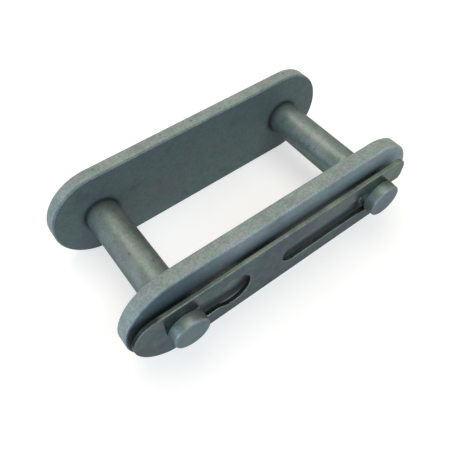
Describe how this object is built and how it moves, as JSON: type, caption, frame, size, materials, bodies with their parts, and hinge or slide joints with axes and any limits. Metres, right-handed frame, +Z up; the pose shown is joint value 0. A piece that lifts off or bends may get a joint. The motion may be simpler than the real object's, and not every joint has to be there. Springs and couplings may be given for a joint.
{
  "type": "chain connecting link",
  "caption": "Riveted pin link of a straight-sided long-pitch roller chain, with a loose cover plate and a flat spring clip.",
  "frame": {"origin": "on the surface that the link stands on, under the middle of its box", "axes": "+X along the line of the two pins, with the clip's open end at +X; +Y along the pins, towards their riveted ends; +Z up"},
  "size_m": [0.0546, 0.03, 0.0166],
  "materials": {
    "plate_steel": "tumbled grey steel, matt, with a faint green cast",
    "pin_steel": "turned and tumbled steel, satin",
    "clip_steel": "rolled spring steel, smooth and a little darker"
  },
  "bodies": {
    "pin_link": {"back_plate": "plate_steel", "left_pin": "pin_steel", "right_pin": "pin_steel"},
    "cover": {"cover_plate": "plate_steel"},
    "clip": {"spring_clip": "clip_steel"}
  },
  "joints": [
    {"name": "cover_slide", "type": "slide", "parent": "pin_link", "child": "cover", "axis": [0, 1, 0], "range_m": [-0.0004, 0.01975]},
    {"name": "clip_slide", "type": "slide", "parent": "pin_link", "child": "clip", "axis": [-1, 0, 0], "range_m": [0, 0.0083], "deforming": ["spring_clip"]}
  ]
}
